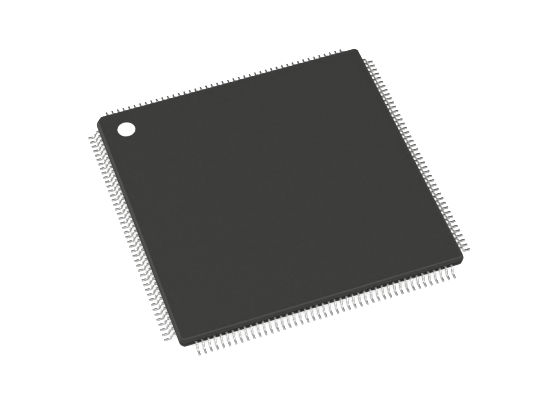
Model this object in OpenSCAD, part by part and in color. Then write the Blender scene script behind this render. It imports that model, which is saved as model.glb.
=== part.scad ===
// Thin quad flat pack with gull-wing leads on all four sides.
// A moulded body holds a fanned leadframe, a die on its sunk paddle and the bond wires.
// The origin is the centre of the package on its seating plane. X runs to the right
// along the front edge, Y runs to the back and Z is up. Pin 1 is at the back left and
// the pins count round to the left side, the front, the right side and the back.

/* [Moulded body] */
// Width of the square body, measured at its parting land
body_size = 24; // [20:0.5:30]
// Thickness of the moulding
body_height = 1.0; // [0.9:0.05:1.4]
// Gap between the seating plane and the underside
standoff = 0.10; // [0.05:0.01:0.15]
// Lean of the moulded sides away from upright, in degrees
draft_angle = 14; // [6:0.5:18]
// Height of the flat land where the two mould halves close
parting_land = 0.18; // [0.15:0.01:0.25]
// Radius along the top and bottom edges
edge_radius = 0.08; // [0.04:0.01:0.12]
// Chamfer on the three plain corners
corner_chamfer = 0.30; // [0.2:0.05:0.6]
// Chamfer on the corner beside pin 1
index_chamfer = 0.50; // [0.3:0.05:0.8]

/* [Pin 1 mark] */
// Diameter of the round mark
mark_diameter = 1.5; // [1:0.1:2.5]
// Distance from the mark's centre to each of the two body edges beside it
mark_inset = 2.18; // [1.8:0.01:4]
// Depth of the moulded dimple that holds the ink
mark_depth = 0.04; // [0.02:0.01:0.08]
// Thickness of the ink in the dimple
ink_thickness = 0.03; // [0.01:0.005:0.04]

/* [Ejector marks] */
// Diameter of the four shallow ejector marks underneath
ejector_diameter = 1.6; // [1:0.1:2.5]
// Distance from an ejector mark's centre to the body edges
ejector_inset = 3.5; // [2.5:0.1:5]
// Depth of the ejector marks
ejector_depth = 0.04; // [0.02:0.01:0.06]

/* [Leads] */
// Distance between the centres of neighbouring leads
lead_pitch = 0.5; // [0.4:0.05:0.65]
// Least distance from the body's edge to the centre of the nearest lead of a row
row_margin = 1.25; // [1.1:0.05:3]
// Width of a lead
lead_width = 0.18; // [0.15:0.01:0.25]
// Thickness of the leadframe
lead_thickness = 0.145; // [0.1:0.005:0.17]
// How far each lead stands out from the body
lead_reach = 1.0; // [0.9:0.05:1.3]
// Flat shoulder between the body and the first bend
shoulder_length = 0.15; // [0.1:0.01:0.25]
// Slope of the leg, in degrees above the board
leg_angle = 70; // [60:1:82]
// Inside radius of the knee, the bend beside the shoulder
knee_radius = 0.10; // [0.08:0.01:0.13]
// Inside radius of the heel, the bend above the foot
heel_radius = 0.17; // [0.08:0.01:0.18]

/* [Inner leads] */
// Straight stretch of a lead inside the body, before it fans in
lock_length = 0.6; // [0.4:0.05:0.8]
// Distance between the centres of neighbouring inner tips
tip_pitch = 0.24; // [0.2:0.01:0.26]
// Distance from a row's last inner tip to the line of the next row's tips
tip_corner_gap = 0.74; // [0.6:0.02:1]
// Width of an inner tip
tip_width = 0.12; // [0.08:0.01:0.14]

/* [Lead lock tape] */
// Distance from the body's edge to the tape's outer edge
tape_inset = 2.6; // [2.2:0.1:3.2]
// Width of the tape
tape_width = 1.2; // [0.8:0.1:1.5]
// Thickness of the tape
tape_thickness = 0.05; // [0.03:0.005:0.075]

/* [Die paddle] */
// Width of the square die paddle
paddle_size = 9.0; // [8.6:0.1:10]
// Chamfer on the paddle's corners
paddle_chamfer = 0.8; // [0.4:0.1:1.2]
// How far the paddle is sunk below the leads
paddle_drop = 0.20; // [0.12:0.01:0.25]
// Length over which the tie bars slope down to the paddle
drop_run = 0.5; // [0.3:0.05:0.8]
// Width of the four tie bars
tie_bar_width = 0.3; // [0.2:0.05:0.4]

/* [Die and wires] */
// Width of the square die
die_size = 7.6; // [6.5:0.1:8.2]
// Thickness of the die
die_height = 0.28; // [0.2:0.01:0.3]
// Thickness of the adhesive under the die
attach_thickness = 0.025; // [0.02:0.005:0.04]
// How far the adhesive spreads past the die
attach_spread = 0.1; // [0.05:0.01:0.15]
// Distance from the die's edge to the row of bond pads
pad_inset = 0.15; // [0.1:0.01:0.3]
// Distance from a row's last bond pad to the die's corner, along the edge
pad_margin = 0.4; // [0.3:0.05:0.8]
// Thickness of a bond wire
wire_thickness = 0.025; // [0.018:0.001:0.03]
// Height of a wire's loop above the die
loop_height = 0.15; // [0.1:0.01:0.18]
// Distance from an inner lead's tip to the end of its wire
stitch_inset = 0.2; // [0.15:0.01:0.4]
// Length of the flat stitch at a wire's end
stitch_length = 0.06; // [0.04:0.01:0.08]

/* [Hidden] */

// Directions in which the sides face, as turns about Z from the right-hand side
left = 180;
front = 270;
right = 0;
back = 90;
sides = [left, front, right, back];

// Leads that fit on a side, in four groups of equal size
groups_per_side = 4;
places_per_side = (body_size - 2 * row_margin) / lead_pitch + 1;
leads_per_group = floor(places_per_side / groups_per_side + 0.001);
leads_per_side = groups_per_side * leads_per_group;

// Heights above the seating plane
parting_z = standoff + body_height / 2;
body_top = standoff + body_height;
lead_top = parting_z + lead_thickness / 2;
lead_bottom = parting_z - lead_thickness / 2;
paddle_bottom = lead_bottom - paddle_drop;
paddle_top = lead_top - paddle_drop;
die_bottom = paddle_top + attach_thickness;
die_top = die_bottom + die_height;

// Half sizes and reaches from the package centre
body_half = body_size / 2;
lead_tip_x = body_half + lead_reach;
fan_x = body_half - lock_length;
tip_reach = (leads_per_side - 1) / 2 * tip_pitch + tip_corner_gap;
tape_reach = body_half - tape_inset;
plain_corner_reach = (body_size - corner_chamfer) / sqrt(2);
index_corner_reach = (body_size - index_chamfer) / sqrt(2);
mark_centre = [mark_inset - body_half, body_half - mark_inset];
ejector_offset = body_half - ejector_inset;
pad_x = die_size / 2 - pad_inset;
pad_pitch = (die_size - 2 * pad_margin) / (leads_per_side - 1);
stitch_x = tip_reach + stitch_inset;

// Bends of a gull-wing lead
bend_radii = knee_radius + heel_radius + lead_thickness;
leg_length = (lead_bottom - bend_radii * (1 - cos(leg_angle))) / sin(leg_angle);
leg_advance = bend_radii * sin(leg_angle) + leg_length * cos(leg_angle);
shoulder_end = body_half + shoulder_length;
heel_x = shoulder_end + leg_advance;

// Flat steps in which round stretches are drawn
bend_steps = 3;
edge_steps = 3;
round_faces = 48;

// Length that passes right through the package, for cutting profiles
through = 3 * body_size;

// Points along an arc about a centre, from one angle to another
function arc(centre, radius, from, to, steps) = [
    for (step = [0:steps])
        let (angle = from + (to - from) * step / steps)
            centre + radius * [cos(angle), sin(angle)]
];

// Place of a lead along its side, where neighbours are a given distance apart
function row_place(index, pitch) = (index - (leads_per_side - 1) / 2) * pitch;

// Place of a lead's middle at a distance from the package centre, in its fanned stretch
function fan_place(index, x) =
    let (share = (x - tip_reach) / (fan_x - tip_reach))
        row_place(index, tip_pitch) * (1 - share) + row_place(index, lead_pitch) * share;

// Upper half of a drafted and rounded side whose land reaches a given distance out
function upper_side(reach) =
    let (lean = [cos(draft_angle), sin(draft_angle)],
         land_top = [reach, parting_land / 2],
         edge_z = body_height / 2 - edge_radius,
         edge_x = (land_top * lean - edge_radius - edge_z * lean[1]) / lean[0])
        concat([land_top], arc([edge_x, edge_z], edge_radius, draft_angle, 90, edge_steps));

// Points turned about both axes, in the reverse order
function flip(points, across, up) = [
    for (i = [len(points) - 1:-1:0])
        [points[i][0] * across, points[i][1] * up]
];

// Upright section of the moulding, with its own reach at each end
module moulding_section(right_reach, left_reach) {
    upper_right = upper_side(right_reach);
    upper_left = upper_side(left_reach);
    translate([0, parting_z])
        polygon(concat(
            flip(upper_right, 1, -1),
            upper_right,
            flip(upper_left, -1, 1),
            flip(flip(upper_left, 1, 1), -1, -1)
        ));
}

// Bar of the moulding's section that faces a given way, as long as it needs to be
module moulding_bar(facing, right_reach, left_reach) {
    rotate([90, 0, facing])
        linear_extrude(through, center = true)
            moulding_section(right_reach, left_reach);
}

// Moulding without its dimples, with nothing inside it
module moulding() {
    intersection() {
        moulding_bar(right, body_half, body_half);
        moulding_bar(back, body_half, body_half);
        moulding_bar(45, plain_corner_reach, plain_corner_reach);
        moulding_bar(135, index_corner_reach, plain_corner_reach);
    }
}

// Lead seen from above, with its tip towards the die and its foot towards +X
module lead_plan(index) {
    outer_y = row_place(index, lead_pitch);
    inner_y = row_place(index, tip_pitch);
    beyond = lead_tip_x + lead_reach;
    polygon([
        [beyond, outer_y - lead_width / 2],
        [beyond, outer_y + lead_width / 2],
        [fan_x, outer_y + lead_width / 2],
        [tip_reach, inner_y + tip_width / 2],
        [tip_reach, inner_y - tip_width / 2],
        [fan_x, outer_y - lead_width / 2]
    ]);
}

// Lead seen from the side, from the leadframe plane down to its flat foot
module gull_wing() {
    knee_centre = [shoulder_end, lead_bottom - knee_radius];
    heel_centre = [heel_x, lead_thickness + heel_radius];
    knee_outside = knee_radius + lead_thickness;
    heel_outside = heel_radius + lead_thickness;
    inside = tip_reach / 2;
    polygon(concat(
        [[inside, lead_top]],
        arc(knee_centre, knee_outside, 90, 90 - leg_angle, bend_steps),
        arc(heel_centre, heel_radius, 270 - leg_angle, 270, bend_steps),
        [[lead_tip_x, lead_thickness], [lead_tip_x, 0]],
        arc(heel_centre, heel_outside, 270, 270 - leg_angle, bend_steps),
        arc(knee_centre, knee_radius, 90 - leg_angle, 90, bend_steps),
        [[inside, lead_bottom]]
    ));
}

// Group of neighbouring leads on one side, each a solid of its own
module lead_group(side, group) {
    first = group * leads_per_group;
    color([0.72, 0.72, 0.71])
        rotate([0, 0, side])
            intersection() {
                rotate([90, 0, 0])
                    linear_extrude(through, center = true)
                        gull_wing();
                translate([0, 0, -body_height])
                    linear_extrude(3 * body_height)
                        for (index = [first:first + leads_per_group - 1])
                            lead_plan(index);
            }
}

// Stretches of all the leads that lie in the moulding
module embedded_leads() {
    translate([0, 0, lead_bottom])
        linear_extrude(lead_thickness)
            for (side = sides)
                rotate([0, 0, side])
                    for (index = [0:leads_per_side - 1])
                        lead_plan(index);
}

// Square ring of tape that lies on the inner leads
module tape_ring() {
    translate([0, 0, lead_top])
        linear_extrude(tape_thickness)
            difference() {
                square(2 * tape_reach, center = true);
                square(2 * (tape_reach - tape_width), center = true);
            }
}

// Tie bar from the paddle's middle to the moulding's corner, towards +X
module tie_bar(corner_reach) {
    slope_start = (paddle_size - paddle_chamfer) / sqrt(2) + tie_bar_width;
    slope_end = slope_start + drop_run;
    rotate([90, 0, 0])
        linear_extrude(tie_bar_width, center = true)
            polygon([
                [0, paddle_bottom],
                [slope_start, paddle_bottom],
                [slope_end, lead_bottom],
                [corner_reach, lead_bottom],
                [corner_reach, lead_top],
                [slope_end, lead_top],
                [slope_start, paddle_top],
                [0, paddle_top]
            ]);
}

// Sunk paddle and its four tie bars, one stamping
module paddle_stamping() {
    corner = paddle_size / 2;
    cut = corner - paddle_chamfer;
    translate([0, 0, paddle_bottom])
        linear_extrude(lead_thickness)
            polygon([
                [corner, cut], [cut, corner], [-cut, corner], [-corner, cut],
                [-corner, -cut], [-cut, -corner], [cut, -corner], [corner, -cut]
            ]);
    for (facing = [45, 225, 315])
        rotate([0, 0, facing])
            tie_bar(plain_corner_reach);
    rotate([0, 0, 135])
        tie_bar(index_corner_reach);
}

// Square block centred over the package's middle
module block(width, height, bottom) {
    translate([-width / 2, -width / 2, bottom])
        cube([width, width, height]);
}

// Adhesive between the paddle and the die
module attach_film() {
    block(die_size + 2 * attach_spread, attach_thickness, paddle_top);
}

// Silicon die
module die_block() {
    block(die_size, die_height, die_bottom);
}

// Wire from a bond pad up over its loop and down to a flat stitch on its lead
module bond_wire(index) {
    pad = [pad_x, row_place(index, pad_pitch)];
    stitch = [stitch_x, fan_place(index, stitch_x)];
    run = norm(stitch - pad);
    half = wire_thickness / 2;
    loop_top = die_top + loop_height;
    heading = atan2(stitch[1] - pad[1], stitch[0] - pad[0]);
    translate([pad[0], pad[1], 0])
        rotate([90, 0, heading])
            linear_extrude(wire_thickness, center = true)
                polygon([
                    [-half, die_top],
                    [half, die_top],
                    [half, loop_top - wire_thickness],
                    [run - stitch_length, lead_top],
                    [run, lead_top],
                    [run, lead_top + half],
                    [run - stitch_length, lead_top + wire_thickness],
                    [half, loop_top],
                    [-half, loop_top - half]
                ]);
}

// Bond wires to the leads of one side
module wire_row(side) {
    rotate([0, 0, side])
        for (index = [0:leads_per_side - 1])
            bond_wire(index);
}

// Dimple beside pin 1, filled with ink to a given height
module mark_disc(height) {
    translate([mark_centre[0], mark_centre[1], body_top - mark_depth])
        cylinder(h = height, d = mark_diameter, $fn = round_faces);
}

// Shallow round marks underneath, where the ejector pins pushed the moulding out
module ejector_marks() {
    for (x = [-ejector_offset, ejector_offset])
        for (y = [-ejector_offset, ejector_offset])
            translate([x, y, standoff - ejector_depth])
                cylinder(h = 2 * ejector_depth, d = ejector_diameter, $fn = round_faces);
}

// Moulded body, cast round everything that it holds
module body() {
    color([0.24, 0.24, 0.235])
        difference() {
            moulding();
            mark_disc(2 * mark_depth);
            ejector_marks();
            embedded_leads();
            tape_ring();
            paddle_stamping();
            attach_film();
            die_block();
            for (side = sides)
                wire_row(side);
        }
}

// White ink in the dimple beside pin 1
module pin1_mark() {
    color("white")
        mark_disc(ink_thickness);
}

// Polyimide tape that keeps the inner leads apart
module lead_lock_tape() {
    color([0.72, 0.45, 0.12])
        tape_ring();
}

// Die paddle with its tie bars
module die_paddle() {
    color([0.75, 0.45, 0.3])
        paddle_stamping();
}

// Silver-filled adhesive
module die_attach() {
    color([0.6, 0.6, 0.58])
        attach_film();
}

// Silicon die
module die() {
    color([0.35, 0.37, 0.42])
        die_block();
}

// Gold bond wires to one side
module wires(side) {
    color([0.9, 0.72, 0.25])
        wire_row(side);
}

body();
pin1_mark();
lead_group(left, 0);  // leads_left_1
lead_group(left, 1);  // leads_left_2
lead_group(left, 2);  // leads_left_3
lead_group(left, 3);  // leads_left_4
lead_group(front, 0);  // leads_front_1
lead_group(front, 1);  // leads_front_2
lead_group(front, 2);  // leads_front_3
lead_group(front, 3);  // leads_front_4
lead_group(right, 0);  // leads_right_1
lead_group(right, 1);  // leads_right_2
lead_group(right, 2);  // leads_right_3
lead_group(right, 3);  // leads_right_4
lead_group(back, 0);  // leads_back_1
lead_group(back, 1);  // leads_back_2
lead_group(back, 2);  // leads_back_3
lead_group(back, 3);  // leads_back_4
lead_lock_tape();
die_paddle();
die_attach();
die();
wires(left);  // wires_left
wires(front);  // wires_front
wires(right);  // wires_right
wires(back);  // wires_back
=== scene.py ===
"""Dresses a thin quad flat pack chip: its moulded body, its pin 1 mark, its rows of
gull-wing leads and what the moulding holds, on a plain pale floor in soft studio light.

Everything is in metres. The origin is the centre of the package on its seating plane,
X runs to the right along the front edge, Y runs to the back and Z is up.
"""

import logging
import math
import sys
from abc import ABC, abstractmethod
from collections.abc import Sequence
from dataclasses import dataclass
from enum import Enum

import bmesh
import bpy
from mathutils import Matrix, Vector


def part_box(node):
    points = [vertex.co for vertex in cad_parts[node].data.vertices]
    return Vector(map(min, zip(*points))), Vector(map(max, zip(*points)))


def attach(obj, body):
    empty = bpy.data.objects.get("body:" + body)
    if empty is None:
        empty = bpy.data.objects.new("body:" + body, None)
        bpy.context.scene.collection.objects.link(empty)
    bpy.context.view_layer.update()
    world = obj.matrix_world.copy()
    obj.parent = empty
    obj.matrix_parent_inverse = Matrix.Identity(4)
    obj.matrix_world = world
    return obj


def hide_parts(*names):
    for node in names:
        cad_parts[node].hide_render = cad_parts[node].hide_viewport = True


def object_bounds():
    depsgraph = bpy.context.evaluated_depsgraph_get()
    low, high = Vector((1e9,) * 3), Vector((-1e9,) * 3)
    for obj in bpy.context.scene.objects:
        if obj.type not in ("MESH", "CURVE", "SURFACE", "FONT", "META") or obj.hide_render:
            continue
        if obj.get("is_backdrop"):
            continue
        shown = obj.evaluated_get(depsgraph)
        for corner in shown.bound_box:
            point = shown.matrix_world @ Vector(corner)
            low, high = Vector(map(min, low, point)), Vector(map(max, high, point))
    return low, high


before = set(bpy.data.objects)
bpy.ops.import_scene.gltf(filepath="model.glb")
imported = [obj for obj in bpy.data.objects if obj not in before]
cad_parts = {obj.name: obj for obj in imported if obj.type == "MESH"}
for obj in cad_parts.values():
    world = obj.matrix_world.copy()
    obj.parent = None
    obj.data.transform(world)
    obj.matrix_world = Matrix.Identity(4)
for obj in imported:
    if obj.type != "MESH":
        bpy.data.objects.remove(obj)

LOG = logging.getLogger("chip")
MM = 0.001
MICROMETRE = MM * MM
ROOT = "root"
SHARP_DEGREES = 50

Triple = tuple[float, float, float]
Span = tuple[float, float]
Ring = list[Vector]
Verts = list[bmesh.types.BMVert]
Socket = bpy.types.NodeSocket

# Stretches of a pattern's heights: all of them, most of those that occur, and the core.
WHOLE: Span = (0.0, 1.0)
MIDDLE: Span = (0.3, 0.7)
CORE: Span = (0.35, 0.65)


class Slot(Enum):
    """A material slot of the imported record."""

    MOULD_COMPOUND = "mould_compound"
    WHITE_INK = "white_ink"
    TIN_PLATE = "tin_plate"
    POLYIMIDE_TAPE = "polyimide_tape"
    COPPER_ALLOY = "copper_alloy"
    SILVER_EPOXY = "silver_epoxy"
    SILICON = "silicon"
    GOLD_WIRE = "gold_wire"


class Side(Enum):
    """A side of the package, as the turn about Z that brings the right-hand side to it."""

    LEFT = 180
    FRONT = 270
    RIGHT = 0
    BACK = 90

    @property
    def label(self) -> str:
        """The side's name as the CAD nodes use it."""
        return self.name.lower()

    @property
    def turn(self) -> Matrix:
        """The turn about Z that brings the right-hand side to this one."""
        return Matrix.Rotation(math.radians(self.value), 4, "Z")


class Pattern(Enum):
    """The procedural texture that a surface detail is drawn with."""

    GRAIN = "ShaderNodeTexNoise"
    CELLS = "ShaderNodeTexVoronoi"


class Trace(Enum):
    """Wear and painted shade that a mesh carries, point by point."""

    # On the moulding's edges the wear also lays a painted highlight.
    WEAR = "wear"
    RESIN = "resin"


class Sum(Enum):
    """How two values are put together."""

    PLUS = "ADD"
    TIMES = "MULTIPLY"


# ---------------- materials


class ShaderBench:
    """A material under construction, with its principled shader and its coordinates."""

    def __init__(self, name: str) -> None:
        """Starts a material.

        Args:
            name: The material's name.
        """
        self.material = bpy.data.materials.new(name)
        self.material.use_nodes = True
        self.tree = self.material.node_tree
        self.shader = self.tree.nodes["Principled BSDF"]
        self.place = self.node("ShaderNodeTexCoord", {})
        self.millimetres = self.along((1.0, 1.0, 1.0))

    def node(self, kind: str, links: dict[str | int, Socket]) -> bpy.types.Node:
        """Adds a node.

        Args:
            kind: The node's type.
            links: The sockets that feed its inputs.

        Returns:
            The new node.
        """
        made = self.tree.nodes.new(kind)
        for end, source in links.items():
            self.tree.links.new(source, made.inputs[end])
        return made

    def along(self, per_mm: Triple) -> Socket:
        """Coordinates in millimetres, drawn out along some axes.

        Args:
            per_mm: Scale of each axis, where a small one draws the pattern out.

        Returns:
            The socket that gives those coordinates.
        """
        mapping = self.node("ShaderNodeMapping", {"Vector": self.place.outputs["Object"]})
        mapping.inputs["Scale"].default_value = [share / MM for share in per_mm]
        return mapping.outputs["Vector"]

    def pattern(
        self, kind: Pattern, size: float, detail: float = 2.0, place: Socket | None = None
    ) -> Socket:
        """Draws a pattern in space.

        Args:
            kind: The texture to draw.
            size: Size of one feature, in millimetres.
            detail: How many finer layers are added.
            place: The coordinates, if not plain millimetres.

        Returns:
            The socket that gives the pattern's height.
        """
        node = self.node(kind.value, {"Vector": place or self.millimetres})
        node.inputs["Scale"].default_value = 1.0 / size
        node.inputs["Detail"].default_value = detail
        return node.outputs["Distance" if kind is Pattern.CELLS else "Fac"]

    def between(self, height: Socket, heights: Span, values: Span = WHOLE) -> Socket:
        """Maps a stretch of a pattern's heights to a stretch of values, clamped.

        Args:
            height: The pattern.
            heights: The lowest and the highest height of the stretch.
            values: The value at each of them.

        Returns:
            The socket that gives the value.
        """
        node = self.node("ShaderNodeMapRange", {"Value": height})
        ends = ("From Min", "From Max", "To Min", "To Max")
        for end, value in zip(ends, (*heights, *values)):
            node.inputs[end].default_value = value
        return node.outputs["Result"]

    def trace(self, trace: Trace) -> Socket:
        """How strongly the mesh carries a trace of its making or use, from 0 to 1.

        Args:
            trace: The trace.

        Returns:
            The socket that gives its strength.
        """
        node = self.node("ShaderNodeAttribute", {})
        node.attribute_name = trace.value
        return node.outputs["Fac"]

    def facing_up(self) -> Socket:
        """How far the surface faces up or down rather than sideways.

        Returns:
            The socket that gives it, from 0 for an upright face to 1 for a level one.
        """
        split = self.node("ShaderNodeSeparateXYZ", {"Vector": self.place.outputs["Normal"]})
        size = self.node("ShaderNodeMath", {0: split.outputs["Z"]})
        size.operation = "ABSOLUTE"
        return size.outputs["Value"]

    def combine(self, how: Sum, first: Socket, second: Socket) -> Socket:
        """Puts two values together.

        Args:
            how: Whether they are added or multiplied.
            first: One value.
            second: The other value.

        Returns:
            The socket that gives the outcome.
        """
        node = self.node("ShaderNodeMath", {0: first, 1: second})
        node.operation = how.value
        return node.outputs["Value"]

    def blend(self, share: Socket, first: Triple | Socket, second: Triple | Socket) -> Socket:
        """Mixes two colours by a pattern.

        Args:
            share: The share of the second colour.
            first: Colour at a share of 0, fixed or from a socket.
            second: Colour at a share of 1, fixed or from a socket.

        Returns:
            The socket that gives the mixed colour.
        """
        node = self.node("ShaderNodeMix", {"Factor": share})
        node.data_type = "RGBA"
        places = [socket for socket in node.inputs if socket.type == "RGBA"]
        for place, colour in zip(places, (first, second)):
            if isinstance(colour, Socket):
                self.tree.links.new(colour, place)
            else:
                place.default_value = (*colour, 1.0)
        return next(socket for socket in node.outputs if socket.type == "RGBA")

    def worn(self, pattern: Socket, heights: Span, shares: Span) -> Socket:
        """How worn the surface is, broken up by a pattern.

        Args:
            pattern: The pattern.
            heights: The lowest and the highest height that count.
            shares: The share of the wear that is left at each of them.

        Returns:
            The socket that gives it, from 0 to 1.
        """
        patches = self.between(pattern, heights, shares)
        return self.combine(Sum.TIMES, self.trace(Trace.WEAR), patches)

    def tint(self, socket: Socket) -> None:
        """Colours the surface by a socket."""
        self.tree.links.new(socket, self.shader.inputs["Base Color"])

    def roughen(self, socket: Socket) -> None:
        """Sets the roughness by a socket."""
        self.tree.links.new(socket, self.shader.inputs["Roughness"])

    def polish(self, matt: Socket, wear: Socket, drop: float) -> None:
        """Sets the roughness, less where the surface is worn.

        Args:
            matt: The roughness of the unworn surface.
            wear: How worn it is.
            drop: How much full wear takes off.
        """
        self.roughen(self.combine(Sum.PLUS, matt, self.between(wear, WHOLE, (0.0, -drop))))

    def emboss(self, *heights: tuple[Socket, float]) -> None:
        """Raises the surface by patterns, one after another.

        Args:
            heights: Each pattern with its full height in micrometres.
        """
        target = self.shader.inputs["Normal"]
        for height, micrometres in reversed(heights):
            bump = self.node("ShaderNodeBump", {"Height": height})
            bump.inputs["Strength"].default_value = 1.0
            bump.inputs["Distance"].default_value = micrometres * MICROMETRE
            self.tree.links.new(bump.outputs["Normal"], target)
            target = bump.inputs["Normal"]

    def set(self, **values: float) -> None:
        """Sets the shader's own sockets, named with underscores for spaces."""
        for name, value in values.items():
            self.shader.inputs[name.replace("_", " ")].default_value = value


@dataclass(frozen=True)
class Finish(ABC):
    """A finish, which can be made into a material."""

    name: str

    @abstractmethod
    def paint(self, bench: ShaderBench) -> None:
        """Gives a material the look of this finish.

        Args:
            bench: The material under construction.
        """

    def material(self) -> bpy.types.Material:
        """Makes the material."""
        bench = ShaderBench(self.name)
        self.paint(bench)
        return bench.material


@dataclass(frozen=True)
class MouldedEpoxy(Finish):
    """Charcoal moulding compound with faint clouds. Painted shade makes the drafted sides
    darker than the level faces and darkens the land where the mould closes, between the
    leads. Handling smooths the edges, whose rounding carries a painted highlight."""

    name: str = "moulded_epoxy"
    colour: Triple = (0.0290, 0.0290, 0.0270)
    filler: Triple = (0.0322, 0.0322, 0.0300)
    # Painted shade: the darker colour of the upright sides.
    side_shade: Triple = (0.0250, 0.0250, 0.0236)
    # Painted shade: the near-black colour of the land between the leads.
    resin: Triple = (0.0080, 0.0080, 0.0076)
    # Painted highlight: the lighter colour of the worn top edges.
    wear_and_highlight: Triple = (0.0520, 0.0520, 0.0492)
    grain_mm: float = 0.06
    grain_um: float = 0.8
    grain_detail: float = 3.0
    flow_mm: float = 0.35
    rub_heights: Span = (0.25, 0.65)
    rub_shares: Span = (0.7, 1.0)
    level: Span = (0.3, 0.9)
    roughness: Span = (0.72, 0.82)
    polish: float = 0.45
    specular: float = 0.20

    def paint(self, bench: ShaderBench) -> None:
        """Lays the clouds, the painted shades, and the wear with its painted highlight.

        Args:
            bench: The material under construction.
        """
        grain = bench.pattern(Pattern.GRAIN, self.grain_mm, self.grain_detail)
        flow = bench.pattern(Pattern.GRAIN, self.flow_mm)
        wear = bench.worn(grain, self.rub_heights, self.rub_shares)
        clouds = bench.blend(bench.between(flow, MIDDLE), self.colour, self.filler)
        # Painted shade: upright faces take the darker colour, level faces the clouds.
        faces = bench.blend(bench.between(bench.facing_up(), self.level), self.side_shade, clouds)
        # Painted shade: the land between the leads darkens to near black.
        sides = bench.blend(bench.trace(Trace.RESIN), faces, self.resin)
        # Worn edges are smoother and painted lighter, a painted highlight.
        bench.tint(bench.blend(wear, sides, self.wear_and_highlight))
        bench.polish(bench.between(grain, MIDDLE, self.roughness), wear, self.polish)
        bench.emboss((grain, self.grain_um))
        bench.set(Specular_IOR_Level=self.specular)


@dataclass(frozen=True)
class MarkingInk(Finish):
    """Flat white pad-printed ink, a little uneven where it wetted the dimple."""

    name: str = "marking_ink"
    thin: Triple = (0.84, 0.84, 0.83)
    colour: Triple = (0.90, 0.90, 0.89)
    pool_mm: float = 0.30
    pool_um: float = 2.0
    pigment_mm: float = 0.03
    pigment_um: float = 0.5
    roughness: Span = (0.55, 0.70)

    def paint(self, bench: ShaderBench) -> None:
        """Lays the pools and the pigment on the material.

        Args:
            bench: The material under construction.
        """
        pool = bench.pattern(Pattern.GRAIN, self.pool_mm)
        pigment = bench.pattern(Pattern.GRAIN, self.pigment_mm)
        bench.tint(bench.blend(bench.between(pool, CORE), self.thin, self.colour))
        bench.roughen(bench.between(pigment, MIDDLE, self.roughness))
        bench.emboss((pool, self.pool_um), (pigment, self.pigment_um))


@dataclass(frozen=True)
class MatteTin(Finish):
    """Matte tin plate, with its fine nodules and the faint clouding of its grains."""

    name: str = "matte_tin"
    dull: Triple = (0.425, 0.425, 0.418)
    bright: Triple = (0.475, 0.475, 0.468)
    burnished: Triple = (0.50, 0.50, 0.493)
    cloud_mm: float = 0.12
    cloud_um: float = 1.0
    nodule_mm: float = 0.012
    nodule_um: float = 0.4
    rub_shares: Span = (0.4, 1.0)
    roughness: Span = (0.36, 0.46)
    polish: float = 0.05

    def paint(self, bench: ShaderBench) -> None:
        """Lays the grains, the nodules and the wear on the material.

        Args:
            bench: The material under construction.
        """
        cloud = bench.pattern(Pattern.GRAIN, self.cloud_mm)
        nodule = bench.pattern(Pattern.CELLS, self.nodule_mm)
        wear = bench.worn(cloud, MIDDLE, self.rub_shares)
        clouds = bench.blend(bench.between(cloud, CORE), self.dull, self.bright)
        bench.tint(bench.blend(wear, clouds, self.burnished))
        bench.polish(bench.between(cloud, MIDDLE, self.roughness), wear, self.polish)
        bench.emboss((cloud, self.cloud_um), (nodule, self.nodule_um))
        bench.set(Metallic=1.0)


@dataclass(frozen=True)
class PolyimideFilm(Finish):
    """Amber polyimide tape with its faint lengthwise streaks."""

    name: str = "polyimide_film"
    amber: Triple = (0.56, 0.25, 0.04)
    pale: Triple = (0.66, 0.34, 0.07)
    streak_mm: float = 0.4
    streak_detail: float = 3.0
    streak_pull: Triple = (0.2, 1.0, 1.0)
    ripple_mm: float = 0.15
    ripple_um: float = 1.5
    roughness: Span = (0.18, 0.30)
    gloss: float = 0.4
    gloss_roughness: float = 0.1

    def paint(self, bench: ShaderBench) -> None:
        """Lays the streaks and the ripples on the material.

        Args:
            bench: The material under construction.
        """
        pulled = bench.along(self.streak_pull)
        streak = bench.pattern(Pattern.GRAIN, self.streak_mm, self.streak_detail, pulled)
        ripple = bench.pattern(Pattern.GRAIN, self.ripple_mm)
        bench.tint(bench.blend(bench.between(streak, MIDDLE), self.amber, self.pale))
        bench.roughen(bench.between(ripple, MIDDLE, self.roughness))
        bench.emboss((ripple, self.ripple_um))
        bench.set(Coat_Weight=self.gloss, Coat_Roughness=self.gloss_roughness)


@dataclass(frozen=True)
class StampedCopper(Finish):
    """Bare leadframe copper with rolling lines and a slightly tarnished tone."""

    name: str = "stamped_copper"
    clean: Triple = (0.80, 0.44, 0.30)
    tarnished: Triple = (0.62, 0.32, 0.20)
    rolling_mm: float = 0.05
    rolling_um: float = 1.0
    rolling_pull: Triple = (0.05, 1.0, 1.0)
    tarnish_mm: float = 1.2
    detail: float = 3.0
    roughness: Span = (0.28, 0.42)

    def paint(self, bench: ShaderBench) -> None:
        """Lays the rolling lines and the tarnish on the material.

        Args:
            bench: The material under construction.
        """
        pulled = bench.along(self.rolling_pull)
        rolling = bench.pattern(Pattern.GRAIN, self.rolling_mm, self.detail, pulled)
        tarnish = bench.pattern(Pattern.GRAIN, self.tarnish_mm, self.detail)
        bench.tint(bench.blend(bench.between(tarnish, CORE), self.clean, self.tarnished))
        bench.roughen(bench.between(rolling, MIDDLE, self.roughness))
        bench.emboss((rolling, self.rolling_um))
        bench.set(Metallic=1.0)


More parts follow.
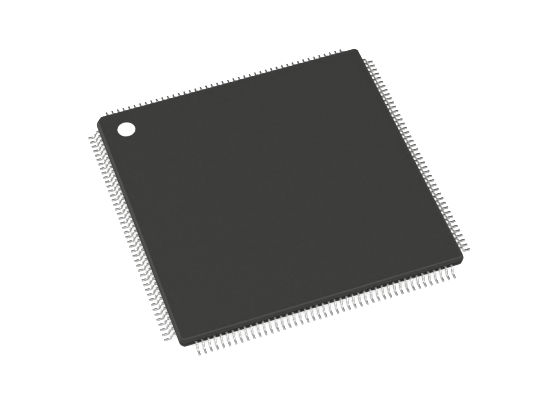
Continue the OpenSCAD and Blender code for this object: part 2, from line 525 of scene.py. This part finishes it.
@dataclass(frozen=True)
class SilverEpoxy(Finish):
    """Cured die-attach adhesive, full of silver flakes."""

    name: str = "silver_epoxy"
    flake: Triple = (0.66, 0.66, 0.64)
    resin: Triple = (0.36, 0.36, 0.34)
    flake_mm: float = 0.02
    flake_um: float = 2.0
    flake_rims: Span = (0.2, 0.6)
    matt_rims: Span = (0.1, 0.7)
    roughness: Span = (0.35, 0.6)
    metal: float = 0.6

    def paint(self, bench: ShaderBench) -> None:
        """Lays the flakes on the material.

        Args:
            bench: The material under construction.
        """
        flakes = bench.pattern(Pattern.CELLS, self.flake_mm)
        bench.tint(bench.blend(bench.between(flakes, self.flake_rims), self.flake, self.resin))
        bench.roughen(bench.between(flakes, self.matt_rims, self.roughness))
        bench.emboss((flakes, self.flake_um))
        bench.set(Metallic=self.metal)


@dataclass(frozen=True)
class PassivatedSilicon(Finish):
    """Diced silicon whose face shows the blocks of its circuits under clear glass."""

    name: str = "passivated_silicon"
    field_tone: Triple = (0.09, 0.11, 0.17)
    block_tone: Triple = (0.20, 0.20, 0.27)
    street_tone: Triple = (0.30, 0.30, 0.32)
    block_mm: Span = (1.3, 1.1)
    street_mm: float = 0.02
    shift: float = 0.37
    shift_every: int = 3
    stretch: float = 1.7
    stretch_every: int = 2
    line_mm: float = 0.05
    line_um: float = 0.2
    line_pull: Triple = (0.1, 1.0, 1.0)
    roughness: Span = (0.10, 0.22)
    glass: float = 0.6
    glass_roughness: float = 0.05

    def blocks(self, bench: ShaderBench) -> Socket:
        """Draws the blocks and the streets between them.

        Args:
            bench: The material that they belong to.

        Returns:
            The socket that gives their colour.
        """
        node = bench.node("ShaderNodeTexBrick", {"Vector": bench.millimetres})
        node.offset = self.shift
        node.offset_frequency = self.shift_every
        node.squash = self.stretch
        node.squash_frequency = self.stretch_every
        width, height = self.block_mm
        sizes = {"Scale": 1.0, "Brick Width": width, "Row Height": height}
        sizes["Mortar Size"] = self.street_mm
        for name, size in sizes.items():
            node.inputs[name].default_value = size
        tones = {"Color1": self.field_tone, "Color2": self.block_tone, "Mortar": self.street_tone}
        for name, tone in tones.items():
            node.inputs[name].default_value = (*tone, 1.0)
        return node.outputs["Color"]

    def paint(self, bench: ShaderBench) -> None:
        """Lays the blocks and their fine lines on the material.

        Args:
            bench: The material under construction.
        """
        bench.tint(self.blocks(bench))
        pulled = bench.along(self.line_pull)
        lines = bench.pattern(Pattern.GRAIN, self.line_mm, place=pulled)
        bench.roughen(bench.between(lines, MIDDLE, self.roughness))
        bench.emboss((lines, self.line_um))
        bench.set(Coat_Weight=self.glass, Coat_Roughness=self.glass_roughness)


@dataclass(frozen=True)
class DrawnGold(Finish):
    """Gold bond wire with the fine lines of its drawing die."""

    name: str = "side_shade_gold"
    deep: Triple = (0.86, 0.60, 0.22)
    bright: Triple = (0.96, 0.74, 0.33)
    line_mm: float = 0.02
    line_um: float = 0.15
    roughness: Span = (0.12, 0.24)

    def paint(self, bench: ShaderBench) -> None:
        """Lays the drawing lines on the material.

        Args:
            bench: The material under construction.
        """
        lines = bench.pattern(Pattern.GRAIN, self.line_mm)
        bench.tint(bench.blend(bench.between(lines, MIDDLE), self.deep, self.bright))
        bench.roughen(bench.between(lines, MIDDLE, self.roughness))
        bench.emboss((lines, self.line_um))
        bench.set(Metallic=1.0)


@dataclass(frozen=True)
class PaleSheet(Finish):
    """An even pale matt sheet that glows, as a light table does."""

    glow: float
    colour: Triple = (0.88, 0.88, 0.88)
    shade: Triple = (0.86, 0.86, 0.86)
    glow_colour: Triple = (1.0, 1.0, 1.0)
    fibre_mm: float = 4.0
    roughness: float = 0.9
    specular: float = 0.1

    def paint(self, bench: ShaderBench) -> None:
        """Lays the fibres and the glow on the material.

        Args:
            bench: The material under construction.
        """
        fibre = bench.pattern(Pattern.GRAIN, self.fibre_mm)
        bench.tint(bench.blend(fibre, self.colour, self.shade))
        bench.set(Roughness=self.roughness, Specular_IOR_Level=self.specular)
        bench.set(Emission_Strength=self.glow)
        bench.shader.inputs["Emission Color"].default_value = (*self.glow_colour, 1.0)


# ---------------- meshes


@dataclass(frozen=True)
class Arc:
    """A stretch of a circle in an upright plane, walked in even steps."""

    centre: Span
    radius: float
    start: float
    end: float
    steps: int

    def points(self) -> list[Triple]:
        """Walks the arc.

        Returns:
            Each point with the angle, in degrees, at which it lies on the circle.
        """
        middle_x, middle_z = self.centre
        walked = []
        for step in range(self.steps + 1):
            angle = self.start + (self.end - self.start) * step / self.steps
            turn = math.radians(angle)
            x = middle_x + self.radius * math.cos(turn)
            z = middle_z + self.radius * math.sin(turn)
            walked.append((x, z, angle))
        return walked


class Loft:
    """A mesh that grows from rings of points and becomes a piece of the object."""

    def __init__(self) -> None:
        """Starts an empty mesh."""
        self.mesh = bmesh.new()
        self.layers = {trace: self.mesh.verts.layers.float.new(trace.value) for trace in Trace}

    def ring(self, points: Ring, wear: float = 0.0, resin: float = 0.0) -> Verts:
        """Adds a ring of points.

        Args:
            points: The ring's points, in order.
            wear: How worn the surface is there, from 0 to 1, partly a painted highlight.
            resin: How strongly painted shade darkens it there, from 0 to 1.

        Returns:
            The new vertices.
        """
        made = [self.mesh.verts.new(point) for point in points]
        for vert in made:
            vert[self.layers[Trace.WEAR]] = wear
            vert[self.layers[Trace.RESIN]] = resin
        return made

    def skin(self, first: Verts, second: Verts) -> None:
        """Joins two rings of the same number of points with a band of faces.

        Args:
            first: One ring.
            second: The next ring.
        """
        count = len(first)
        for here in range(count):
            there = (here + 1) % count
            self.mesh.faces.new((first[here], first[there], second[there], second[here]))

    def sweep(self, rings: Sequence[Ring], wears: Sequence[float] | None = None) -> None:
        """Adds a tube through rings, closed at both ends.

        Args:
            rings: The rings, in order along the tube.
            wears: How worn the surface is at each ring, if anywhere.
        """
        wears = wears or [0.0] * len(rings)
        made = [self.ring(points, wear) for points, wear in zip(rings, wears)]
        for first, second in zip(made, made[1:]):
            self.skin(first, second)
        self.mesh.faces.new(made[0])
        self.mesh.faces.new(made[-1])

    def fill(self, loops: Sequence[Verts], upward: Vector) -> None:
        """Fills a flat face that has an outer loop and holes.

        Args:
            loops: The outer loop and the holes, each a closed ring.
            upward: The side on which the face shows.
        """
        edges = []
        for loop in loops:
            for here, vert in enumerate(loop):
                ends = (vert, loop[(here + 1) % len(loop)])
                edges.append(self.mesh.edges.get(ends) or self.mesh.edges.new(ends))
        bmesh.ops.triangle_fill(
            self.mesh, use_beauty=True, use_dissolve=False, edges=edges, normal=upward
        )

    def piece(
        self, name: str, material: bpy.types.Material, nodes: Sequence[str]
    ) -> None:
        """Turns the mesh into a piece that stands for CAD nodes.

        Args:
            name: The piece's name.
            material: Its material.
            nodes: The CAD nodes that it stands for.
        """
        bmesh.ops.recalc_face_normals(self.mesh, faces=self.mesh.faces[:])
        data = bpy.data.meshes.new(name)
        self.mesh.to_mesh(data)
        self.mesh.free()
        data.shade_smooth()
        data.set_sharp_from_angle(angle=math.radians(SHARP_DEGREES))
        data.materials.append(material)
        made = bpy.data.objects.new(name, data)
        bpy.context.scene.collection.objects.link(made)
        normals = made.modifiers.new("even_normals", "WEIGHTED_NORMAL")
        normals.mode = "FACE_AREA"
        normals.keep_sharp = True
        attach(made, ROOT)
        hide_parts(*nodes)
        LOG.info("%s: %d faces, stands for %s", name, len(data.polygons), ", ".join(nodes))


def circle(centre: Vector, radius: float, steps: int) -> Ring:
    """Points round a level circle.

    Args:
        centre: The circle's centre.
        radius: Its radius.
        steps: How many points.

    Returns:
        The points, counter-clockwise.
    """
    turns = [2 * math.pi * step / steps for step in range(steps)]
    return [centre + Vector((math.cos(t), math.sin(t), 0.0)) * radius for t in turns]


@dataclass
class Recess:
    """A shallow round recess with softened edges, in a narrow flat collar that keeps the
    shading of its lip off the face round it."""

    centre: Vector
    radius: float
    depth: float
    lip: float
    collar: float = 0.03 * MM
    lip_steps: int = 4
    steps: int = 72

    def sink(self, loft: Loft, inward: float) -> Verts:
        """Adds the recess's wall and floor.

        Args:
            loft: The mesh that it belongs to.
            inward: 1 where the recess goes up into the body, -1 where it goes down.

        Returns:
            The collar's outer ring, for the face round it.
        """
        rim = self.radius + self.lip
        floor = self.radius - self.lip
        edge = (rim + self.collar, 0.0, 0.0)
        mouth = Arc((rim, self.lip), self.lip, 270, 180, self.lip_steps)
        foot = Arc((floor, self.depth - self.lip), self.lip, 0, 90, self.lip_steps)
        rings = [
            loft.ring(circle(self.centre + Vector((0, 0, inward * rise)), reach, self.steps))
            for reach, rise, _ in [edge, *mouth.points(), *foot.points()]
        ]
        for first, second in zip(rings, rings[1:]):
            loft.skin(first, second)
        loft.mesh.faces.new(rings[-1])
        return rings[0]


# ---------------- sub-assemblies


@dataclass
class MouldedBody:
    """The moulding: drafted sides that meet in a land, softened edges, four chamfered
    corners of which the one beside pin 1 is larger, a dimple and four ejector marks. A
    thin skin of flash covers the ends of the tie bars at the corners."""

    finish: MouldedEpoxy = MouldedEpoxy()
    draft: float = 14.0
    land: float = 0.18 * MM
    edge_radius: float = 0.12 * MM
    land_radius: float = 0.03 * MM
    plain_chamfer: float = 0.30 * MM
    index_chamfer: float = 0.50 * MM
    index_quarter: int = 1
    corner_radius: float = 0.12 * MM
    flash: float = 0.004 * MM
    corner_steps: int = 5
    edge_steps: int = 9
    support: float = 0.06 * MM
    # Where the edge rounding is worn: smoother there, with a lighter painted highlight.
    wear_start: float = 50.0
    wear_spread: float = 14.0
    dimple_depth: float = 0.04 * MM
    ejector_radius: float = 0.8 * MM
    ejector_inset: float = 3.5 * MM
    ejector_depth: float = 0.04 * MM
    lip: float = 0.012 * MM

    def __post_init__(self) -> None:
        """Takes the body's box and the mark's place from the frame."""
        low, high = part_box("body")
        self.half = (high.x - low.x) / 2
        self.bottom = low.z
        self.top = high.z
        self.parting = (low.z + high.z) / 2
        mark_low, mark_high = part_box("pin1_mark")
        self.mark_centre = (mark_low + mark_high) / 2
        self.mark_radius = (mark_high.x - mark_low.x) / 2

    def outline(self, inset: float, height: float) -> Ring:
        """The moulding's outline at one level.

        Args:
            inset: How far its sides stand in from the land.
            height: The level.

        Returns:
            The outline's points, with its corners rounded.
        """
        reach = self.half - inset
        slant = inset * (2 - math.sqrt(2)) + self.flash * math.sqrt(2)
        corners: list[Vector] = []
        for quarter in range(4):
            chamfer = self.index_chamfer if quarter == self.index_quarter else self.plain_chamfer
            cut = reach - (chamfer - slant)
            turn = Matrix.Rotation(math.radians(90 * quarter), 3, "Z")
            corners += [turn @ Vector((reach, cut, height)), turn @ Vector((cut, reach, height))]
        half_turn = math.pi / len(corners)
        ring: Ring = []
        for here, corner in enumerate(corners):
            before = (corners[here - 1] - corner).normalized()
            after = (corners[(here + 1) % len(corners)] - corner).normalized()
            bisector = (before + after).normalized()
            centre = corner + bisector * (self.corner_radius / math.cos(half_turn))
            for step in range(self.corner_steps + 1):
                angle = half_turn * (2 * step / self.corner_steps - 1)
                spoke = Matrix.Rotation(angle, 3, "Z") @ (-bisector)
                ring.append(centre + spoke * self.corner_radius)
        return ring

    def half_profile(self) -> list[tuple[float, float, float, float]]:
        """The side's upper half, from the land's edge up to the flat face.

        Returns:
            Insets from the land with their heights above the parting plane, the wear, which
            also lays a painted highlight on the edge, and the strength of the painted shade.
        """
        lean = math.radians(self.draft)
        height = self.top - self.parting
        land_edge = self.land / 2
        soft = self.land_radius * math.tan(lean / 2)
        crest = height - self.edge_radius
        edge_x = (
            land_edge * math.sin(lean) - self.edge_radius - crest * math.sin(lean)
        ) / math.cos(lean)
        profile = [
            # The land carries full painted shade, for the dark gap between the leads.
            (0.0, land_edge - soft, 0.0, 1.0),
            (soft * math.sin(lean), land_edge + soft * math.cos(lean), 0.0, 1.0),
            (self.support * math.tan(lean), land_edge + self.support, 0.0, 0.0),
        ]
        edge = Arc((edge_x, crest), self.edge_radius, self.draft, 90, self.edge_steps)
        for x, z, angle in edge.points():
            # Wear, smoother and with a lighter painted highlight, rises towards the flat top.
            wear = min(max((angle - self.wear_start) / self.wear_spread, 0.0), 1.0)
            profile.append((-x, z, wear, 0.0))
        profile.append((profile[-1][0] + self.support, height, 0.0, 0.0))
        return profile

    def build(self) -> None:
        """Builds and dresses the moulding."""
        loft = Loft()
        upper = self.half_profile()
        rings = [
            loft.ring(self.outline(inset, self.parting + turned * z), wear, resin)
            for turned, half in ((-1, upper[::-1]), (1, upper))
            for inset, z, wear, resin in half
        ]
        for first, second in zip(rings, rings[1:]):
            loft.skin(first, second)
        mark_place = Vector((self.mark_centre.x, self.mark_centre.y, self.top))
        dimple = Recess(mark_place, self.mark_radius, self.dimple_depth, self.lip)
        loft.fill([rings[-1], dimple.sink(loft, -1.0)], Vector((0, 0, 1)))
        place = self.half - self.ejector_inset
        marks = []
        for x in (-place, place):
            for y in (-place, place):
                centre = Vector((x, y, self.bottom))
                mark = Recess(centre, self.ejector_radius, self.ejector_depth, self.lip)
                marks.append(mark.sink(loft, 1.0))
        loft.fill([rings[0], *marks], Vector((0, 0, -1)))
        loft.piece("moulding", self.finish.material(), ["body"])


@dataclass
class PinOneMark:
    """The white ink in the dimple beside pin 1, drawn up a little at its rim."""

    finish: MarkingInk = MarkingInk()
    meniscus: float = 0.004 * MM
    rim: float = 0.10 * MM
    rim_steps: int = 5
    steps: int = 72

    def build(self) -> None:
        """Builds and dresses the ink."""
        low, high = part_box("pin1_mark")
        centre = (low + high) / 2
        radius = (high.x - low.x) / 2
        loft = Loft()
        levels = [(radius, low.z), (radius, high.z)]
        for step in range(1, self.rim_steps + 1):
            share = step / self.rim_steps
            fall = self.meniscus * (1 - (1 - share) ** 2)
            levels.append((radius - self.rim * share, high.z - fall))
        rings = [
            circle(Vector((centre.x, centre.y, height)), reach, self.steps)
            for reach, height in levels
        ]
        loft.sweep(rings)
        loft.piece("pin1_ink", self.finish.material(), ["pin1_mark"])


@dataclass(frozen=True)
class Station:
    """A place along a lead's middle line, with its cross section there."""

    middle: Vector
    slope: float
    width: float
    thickness: float
    edge: float
    wear: float = 0.0
    edge_steps: int = 2

    def ring(self, turn: Matrix) -> Ring:
        """The cross section, a rectangle with rounded edges.

        Args:
            turn: The turn that brings the lead to its side.

        Returns:
            The section's points, in order round it.
        """
        lean = math.radians(self.slope)
        up = Vector((math.sin(lean), 0.0, math.cos(lean)))
        across = self.width / 2 - self.edge
        through = self.thickness / 2 - self.edge
        points: Ring = []
        for start, side, rise in ((0, 1, 1), (90, -1, 1), (180, -1, -1), (270, 1, -1)):
            centre = (side * across, rise * through)
            corner = Arc(centre, self.edge, start, start + 90, self.edge_steps)
            for u, v, _ in corner.points():
                points.append(turn @ (self.middle + Vector((0, u, 0)) + up * v))
        return points


@dataclass
class GullWingRows:
    """The leads of all four sides. Each is one ribbon that fans out from the die inside
    the moulding, leaves it at the parting plane and steps down to a flat foot."""

    finish: MatteTin = MatteTin()
    groups: int = 4
    pitch: float = 0.5 * MM
    width: float = 0.18 * MM
    thickness: float = 0.145 * MM
    shoulder: float = 0.15 * MM
    leg_angle: float = 70.0
    knee_radius: float = 0.10 * MM
    heel_radius: float = 0.17 * MM
    lock: float = 0.6 * MM
    tip_pitch: float = 0.24 * MM
    tip_width: float = 0.12 * MM
    edge: float = 0.022 * MM
    toe_round: float = 0.015 * MM
    toe_wear: float = 0.5
    toe_steps: int = 3
    bend_steps: int = 8

    def __post_init__(self) -> None:
        """Takes the leads' places from the frame."""
        low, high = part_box("body")
        self.body_half = (high.x - low.x) / 2
        self.parting = (low.z + high.z) / 2
        lead_low, lead_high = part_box("leads_right_1")
        self.inner_x = lead_low.x
        self.tip_x = lead_high.x
        last_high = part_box("leads_right_4")[1]
        self.per_side = round(2 * (last_high.y - self.width / 2) / self.pitch) + 1

    def stations(self) -> list[tuple[float, float, float, float]]:
        """The middle line of a lead, seen from the side.

        Returns:
            Distances from the package centre and heights, with the slope in degrees and
            how far the forming tool has burnished the plating there.
        """
        upper = self.knee_radius + self.thickness / 2
        lower = self.heel_radius + self.thickness / 2
        lean = math.radians(self.leg_angle)
        drop = self.parting - self.thickness / 2 - (upper + lower) * (1 - math.cos(lean))
        knee_x = self.body_half + self.shoulder
        heel_x = knee_x + (upper + lower) * math.sin(lean) + drop / math.tan(lean)
        knee_middle = (knee_x, self.parting - upper)
        heel_middle = (heel_x, self.thickness / 2 + lower)
        knee = Arc(knee_middle, upper, 90, 90 - self.leg_angle, self.bend_steps)
        heel = Arc(heel_middle, lower, 270 - self.leg_angle, 270, self.bend_steps)
        inside = (self.body_half - self.lock, self.body_half)
        line = [(x, self.parting, 0.0, 0.0) for x in inside]
        for bend, level in ((knee, 90), (heel, 270)):
            for x, z, angle in bend.points():
                slope = level - angle
                line.append((x, z, slope, math.sin(math.pi * slope / self.leg_angle)))
        return line

    def ribbon(self, index: int) -> list[Station]:
        """The course of one lead of the right-hand side.

        Args:
            index: The lead's place in its row.

        Returns:
            The stations from its inner tip to the cut end of its foot.
        """
        place = index - (self.per_side - 1) / 2
        outer_y = place * self.pitch
        tip = Vector((self.inner_x, place * self.tip_pitch, self.parting))
        course = [Station(tip, 0.0, self.tip_width, self.thickness, self.edge)]
        for x, z, slope, wear in self.stations():
            middle = Vector((x, outer_y, z))
            course.append(Station(middle, slope, self.width, self.thickness, self.edge, wear))
        for step in range(self.toe_steps + 1):
            turn = math.radians(90 * step / self.toe_steps)
            x = self.tip_x - self.edge * (1 - math.sin(turn))
            slim = 2 * self.toe_round * (1 - math.cos(turn))
            middle = Vector((x, outer_y, self.thickness / 2))
            width, thickness = self.width - slim, self.thickness - slim
            course.append(Station(middle, 0.0, width, thickness, self.edge, self.toe_wear))
        return course

    def build(self) -> None:
        """Builds and dresses the leads, in the groups of the CAD nodes."""
        material = self.finish.material()
        in_group = self.per_side // self.groups
        for side in Side:
            for group in range(self.groups):
                loft = Loft()
                for index in range(group * in_group, (group + 1) * in_group):
                    course = self.ribbon(index)
                    rings = [station.ring(side.turn) for station in course]
                    loft.sweep(rings, [station.wear for station in course])
                label = f"{side.label}_{group + 1}"
                name = f"gull_wings_{label}"
                loft.piece(name, material, [f"leads_{label}"])


@dataclass
class BondWires:
    """The gold wires of all four sides. Each has a squashed ball on its pad, rises to a
    loop, falls gently and ends in a flat stitch on its inner lead. The ball's shape gives
    levels as shares of its height, with half widths as shares of its radius."""

    leads: GullWingRows
    finish: DrawnGold = DrawnGold()
    pad_inset: float = 0.15 * MM
    pad_margin: float = 0.4 * MM
    stitch_inset: float = 0.2 * MM
    stitch_length: float = 0.06 * MM
    radius: float = 0.0125 * MM
    ball_radius: float = 0.032 * MM
    ball_height: float = 0.018 * MM
    ball_shape: tuple[Span, ...] = ((0.0, 0.8), (0.4, 1.0), (1.0, 0.7))
    neck: float = 1.4
    stitch_spread: float = 1.6
    stitch_squash: float = 0.4
    bend: float = 0.06 * MM
    sag: float = 0.02 * MM
    bend_steps: int = 5
    span_steps: int = 6
    facets: int = 8

    def __post_init__(self) -> None:
        """Takes the die's and the wires' places from the frame."""
        low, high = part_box("die")
        self.pad_x = (high.x - low.x) / 2 - self.pad_inset
        self.pad_z = high.z
        self.pad_pitch = 2 * ((high.x - low.x) / 2 - self.pad_margin) / (self.leads.per_side - 1)
        self.loop_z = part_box("wires_right")[1].z
        self.lead_z = self.leads.parting + self.leads.thickness / 2

    def ends(self, index: int) -> tuple[Vector, Vector]:
        """Where a wire of the right-hand side starts and ends, seen from above.

        Args:
            index: The wire's place in its row.

        Returns:
            The middle of its pad and the end of its stitch.
        """
        leads = self.leads
        place = index - (leads.per_side - 1) / 2
        fan_x = leads.body_half - leads.lock
        share = self.stitch_inset / (fan_x - leads.inner_x)
        pitch = leads.tip_pitch * (1 - share) + leads.pitch * share
        pad = Vector((self.pad_x, place * self.pad_pitch, 0))
        return pad, Vector((leads.inner_x + self.stitch_inset, place * pitch, 0))

    def course(self, run: float) -> list[tuple[float, float, float, float, float]]:
        """The wire's middle line over its pad and along its run.

        Args:
            run: The level distance from pad to stitch.

        Returns:
            Distances along the run, heights, slopes in degrees, and the section's half
            width and half height.
        """
        slim = self.radius
        line = []
        for level, share in self.ball_shape:
            wide = self.ball_radius * share
            line.append((0.0, self.pad_z + self.ball_height * level, 90.0, wide, wide))
        line.append((0.0, self.pad_z + self.ball_height * self.neck, 90.0, slim, slim))
        top = self.loop_z - self.radius
        stitch = run - self.stitch_length
        fall = math.degrees(math.atan2(top - self.lead_z - self.radius, stitch))
        bend = Arc((self.bend, top - self.bend), self.bend, 180, 90 - fall, self.bend_steps)
        line += [(x, z, angle - 90, slim, slim) for x, z, angle in bend.points()]
        start_x, start_z = line[-1][:2]
        for step in range(1, self.span_steps + 1):
            share = step / self.span_steps
            x = start_x + (stitch - start_x) * share
            z = start_z + (self.lead_z + self.radius - start_z) * share
            z += self.sag * 4 * share * (1 - share)
            line.append((x, z, -fall, slim, slim))
        flat = slim * self.stitch_squash
        line.append((run, self.lead_z + flat, 0.0, slim * self.stitch_spread, flat))
        return line

    def wire(self, index: int, turn: Matrix) -> list[Ring]:
        """The rings of one wire.

        Args:
            index: The wire's place in its row.
            turn: The turn that brings it to its side.

        Returns:
            The rings from its ball to its stitch.
        """
        pad, stitch = self.ends(index)
        ahead = (stitch - pad).normalized()
        across = Vector((-ahead.y, ahead.x, 0))
        rings: list[Ring] = []
        for x, z, slope, half_width, half_height in self.course((stitch - pad).length):
            lean = math.radians(slope)
            up = Vector((0, 0, math.cos(lean))) - ahead * math.sin(lean)
            middle = pad + ahead * x + Vector((0, 0, z))
            ring: Ring = []
            for step in range(self.facets):
                spoke = 2 * math.pi * step / self.facets
                sideways = across * math.cos(spoke) * half_width
                upwards = up * math.sin(spoke) * half_height
                ring.append(turn @ (middle + (sideways + upwards)))
            rings.append(ring)
        return rings

    def build(self) -> None:
        """Builds and dresses the wires, a side at a time."""
        material = self.finish.material()
        for side in Side:
            loft = Loft()
            for index in range(self.leads.per_side):
                loft.sweep(self.wire(index, side.turn))
            node = f"wires_{side.label}"
            loft.piece(f"bond_{node}", material, [node])


@dataclass
class BuriedParts:
    """What the moulding holds, carried over from the CAD with finishes of its own."""

    finishes: tuple[tuple[str, Finish], ...] = (
        ("lead_lock_tape", PolyimideFilm()),
        ("die_paddle", StampedCopper()),
        ("die_attach", SilverEpoxy()),
        ("die", PassivatedSilicon()),
    )

    def dress(self) -> None:
        """Gives each carried-over node its material."""
        for node, finish in self.finishes:
            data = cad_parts[node].data
            data.materials.clear()
            data.materials.append(finish.material())
            LOG.info("%s: carried over", node)


# ---------------- studio


def direction(azimuth: float, elevation: float) -> Vector:
    """The way to something seen from the package.

    Args:
        azimuth: Degrees round from the front, towards the right.
        elevation: Degrees above the floor.

    Returns:
        A unit vector.
    """
    around, up = math.radians(azimuth), math.radians(elevation)
    level = math.cos(up)
    return Vector((math.sin(around) * level, -math.cos(around) * level, math.sin(up)))


@dataclass(frozen=True)
class Softbox:
    """A round soft light that faces the package."""

    name: str
    azimuth: float
    elevation: float
    size: float
    energy: float
    distance: float = 0.30

    def build(self) -> None:
        """Hangs the light."""
        data = bpy.data.lights.new(self.name, "AREA")
        data.shape = "DISK"
        data.size = self.size
        data.energy = self.energy
        light = bpy.data.objects.new(self.name, data)
        bpy.context.scene.collection.objects.link(light)
        toward = direction(self.azimuth, self.elevation)
        light.location = toward * self.distance
        light.rotation_euler = toward.to_track_quat("Z", "Y").to_euler()
        light.visible_camera = False


@dataclass
class Studio:
    """Floor, light and camera."""

    floor_radius: float = 0.6
    floor_sides: int = 96
    table_radius: float = 3.0
    cove: float = 0.4
    cove_steps: int = 24
    sky: Triple = (0.02, 0.02, 0.02)
    lens: float = 112.593
    sensor: float = 36.0
    nearest: float = 1 * MM
    farthest: float = 10.0
    azimuth: float = -19.673
    elevation: float = 53.117
    distance: float = 145.585 * MM
    target: Triple = (0.2725 * MM, -0.5831 * MM, -0.3431 * MM)
    glow: float = 0.6
    table_glow: float = 0.27
    sharpness: float = 1.1
    table_gap: float = 0.002 * MM
    softboxes: tuple[Softbox, ...] = (
        Softbox("front_low", 0.0, 15.0, 0.15, 0.415),
        Softbox("front_left_low", 315.0, 15.0, 0.15, 0.171),
        Softbox("front_right_mid", 45.0, 50.0, 0.20, 0.384),
        Softbox("left_low", 270.0, 15.0, 0.15, 0.285),
        Softbox("left_back_low", 225.0, 15.0, 0.15, 0.707),
        Softbox("left_back_mid", 225.0, 45.0, 0.20, 0.070),
        Softbox("right_low", 90.0, 15.0, 0.15, 0.286),
        Softbox("overhead", 0.0, 90.0, 0.20, 0.295),
    )

    def sheet(self, name: str, rings: Sequence[Ring], finish: PaleSheet) -> bpy.types.Object:
        """Lays a round sheet.

        Args:
            name: The sheet's name.
            rings: The ring round its flat middle, and those beyond it if it rises.
            finish: What it is made of.

        Returns:
            The sheet, marked as stage.
        """
        sides = self.floor_sides
        faces = [tuple(range(sides))]
        for ring in range(len(rings) - 1):
            for side in range(sides):
                here = ring * sides + side
                after = ring * sides + (side + 1) % sides
                faces.append((here, here + sides, after + sides, after))
        data = bpy.data.meshes.new(name)
        data.from_pydata([point for ring in rings for point in ring], [], faces)
        data.materials.append(finish.material())
        made = bpy.data.objects.new(name, data)
        bpy.context.scene.collection.objects.link(made)
        made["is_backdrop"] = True
        return made

    def lay_floor(self) -> None:
        """Lays the floor that shows, which rises in a cove all round, and just under it the
        table that lights the package."""
        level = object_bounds()[0].z
        rise = Arc((self.floor_radius, self.cove), self.cove, -90, 0, self.cove_steps)
        rings = [
            circle(Vector((0, 0, level + z)), x, self.floor_sides) for x, z, _ in rise.points()
        ]
        shown = self.sheet("floor", rings, PaleSheet("floor_sheet", self.glow))
        shown.visible_diffuse = False
        shown.visible_glossy = False
        shown.visible_shadow = False
        under = circle(
            Vector((0, 0, level - self.table_gap)), self.table_radius, self.floor_sides
        )
        table = self.sheet("table", [under], PaleSheet("table_sheet", self.table_glow))
        table.visible_camera = False

    def light(self) -> None:
        """Lights the room evenly and hangs the softboxes."""
        world = bpy.data.worlds.new("studio")
        world.use_nodes = True
        world.node_tree.nodes["Background"].inputs["Color"].default_value = (*self.sky, 1.0)
        bpy.context.scene.world = world
        for softbox in self.softboxes:
            softbox.build()

    def place_camera(self) -> None:
        """Sets up the camera, looking down on the package from the front left."""
        data = bpy.data.cameras.new("camera")
        data.lens = self.lens
        data.sensor_width = self.sensor
        data.clip_start = self.nearest
        data.clip_end = self.farthest
        camera = bpy.data.objects.new("camera", data)
        bpy.context.scene.collection.objects.link(camera)
        back = direction(self.azimuth, self.elevation)
        camera.location = Vector(self.target) + back * self.distance
        camera.rotation_euler = back.to_track_quat("Z", "Y").to_euler()
        bpy.context.scene.camera = camera

    def set_tone(self) -> None:
        """Keeps the colours as the materials give them, and the fine leads crisp."""
        view = bpy.context.scene.view_settings
        view.view_transform = "Standard"
        view.look = "None"
        bpy.context.scene.cycles.filter_width = self.sharpness

    def build(self) -> None:
        """Sets up the whole studio."""
        self.lay_floor()
        self.light()
        self.place_camera()
        self.set_tone()


def main() -> None:
    """Builds every sub-assembly in order."""
    logging.basicConfig(level=logging.INFO, format="%(message)s", stream=sys.stdout)
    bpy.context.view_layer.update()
    MouldedBody().build()
    PinOneMark().build()
    leads = GullWingRows()
    leads.build()
    BondWires(leads).build()
    BuriedParts().dress()
    Studio().build()


if __name__ == "__main__":
    main()
